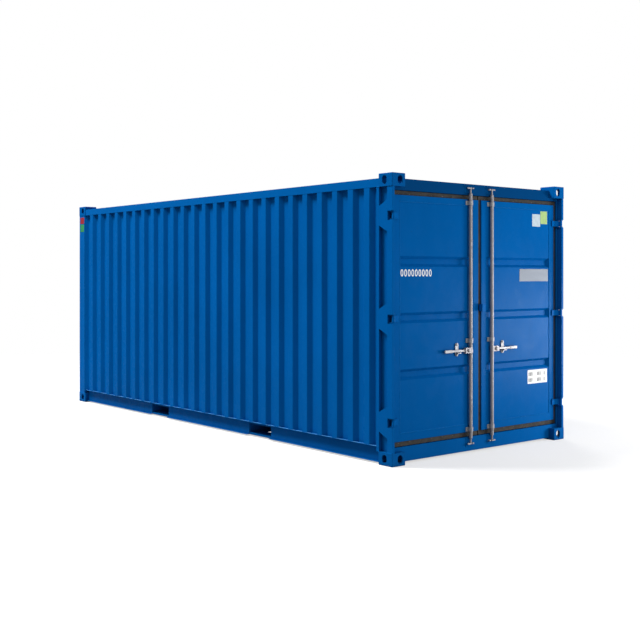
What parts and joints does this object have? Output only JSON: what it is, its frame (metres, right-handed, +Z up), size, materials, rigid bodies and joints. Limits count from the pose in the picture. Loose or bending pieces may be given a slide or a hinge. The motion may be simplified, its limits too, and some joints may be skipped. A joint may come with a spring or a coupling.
{
  "type": "shipping container",
  "caption": "Steel freight container with corrugated walls, hollow corner castings, fork pockets and a two-leaf door end with lock rods, lever handles and rubber seals.",
  "frame": {"origin": "centre of the footprint, level with the bottom faces of the bottom corner castings", "axes": "+Z up; +Y along the length, away from the door end; the doors face -Y; left and right are as seen facing the doors, so left is -X"},
  "size_m": [2.438, 6.058, 2.591],
  "materials": {
    "container_paint": "satin",
    "casting_paint": "satin",
    "galvanised_steel": "dull zinc",
    "seal_rubber": "matte",
    "floor_plywood": "oiled",
    "plate_metal": "satin"
  },
  "bodies": {
    "container": {"bottom_corner_castings": "casting_paint", "bottom_side_rail_left": "container_paint", "bottom_side_rail_right": "container_paint", "cam_keepers_bottom": "container_paint", "cam_keepers_top": "container_paint", "cross_members": "container_paint", "door_header": "container_paint", "door_post_left": "container_paint", "door_post_right": "container_paint", "door_sill": "container_paint", "floor_deck": "floor_plywood", "fork_pocket_roofs": "container_paint", "fork_pocket_sides": "container_paint", "fork_pocket_straps": "container_paint", "front_bottom_rail": "container_paint", "front_post_left": "container_paint", "front_post_right": "container_paint", "front_top_rail": "container_paint", "front_wall": "container_paint", "hinge_lugs_left": "container_paint", "hinge_lugs_right": "container_paint", "hinge_plates_left": "container_paint", "hinge_plates_right": "container_paint", "roof_panel": "container_paint", "side_wall_left": "container_paint", "side_wall_right": "container_paint", "top_corner_castings": "casting_paint", "top_side_rail_left": "container_paint", "top_side_rail_right": "container_paint"},
    "left_door": {"leaf_stiles_left": "container_paint", "leaf_rails_left": "container_paint", "leaf_panel_left": "container_paint", "leaf_gasket_left": "seal_rubber", "hinge_blades_left": "container_paint", "rod_guides_left": "galvanised_steel", "handle_catch_left": "galvanised_steel"},
    "right_door": {"leaf_stiles_right": "container_paint", "leaf_rails_right": "container_paint", "leaf_panel_right": "container_paint", "leaf_gasket_right": "seal_rubber", "hinge_blades_right": "container_paint", "rod_guides_right": "galvanised_steel", "handle_catch_right": "galvanised_steel", "overlap_block": "container_paint", "data_plate": "plate_metal"},
    "left_lock_rod": {"lock_rod_left": "galvanised_steel"},
    "right_lock_rod": {"lock_rod_right": "galvanised_steel"},
    "left_handle": {"handle_left": "galvanised_steel"},
    "right_handle": {"handle_right": "galvanised_steel"}
  },
  "joints": [
    {"name": "left_door_hinge", "type": "hinge", "parent": "container", "child": "left_door", "pos_m": [-1.188, -3.013, 1.298], "axis": [0, 0, -1], "range_deg": [0, 265]},
    {"name": "right_door_hinge", "type": "hinge", "parent": "container", "child": "right_door", "pos_m": [1.188, -3.013, 1.298], "axis": [0, 0, 1], "range_deg": [0, 265]},
    {"name": "left_rod_turn", "type": "hinge", "parent": "left_door", "child": "left_lock_rod", "pos_m": [-0.152, -2.984, 0.976], "axis": [0, 0, -1], "range_deg": [-105, 0]},
    {"name": "right_rod_turn", "type": "hinge", "parent": "right_door", "child": "right_lock_rod", "pos_m": [0.152, -2.984, 0.976], "axis": [0, 0, 1], "range_deg": [-105, 0]},
    {"name": "left_handle_lift", "type": "hinge", "parent": "left_lock_rod", "child": "left_handle", "pos_m": [-0.196, -2.99, 0.976], "axis": [0, 1, 0], "range_deg": [0, 25]},
    {"name": "right_handle_lift", "type": "hinge", "parent": "right_lock_rod", "child": "right_handle", "pos_m": [0.196, -2.99, 0.976], "axis": [0, -1, 0], "range_deg": [0, 25]}
  ]
}
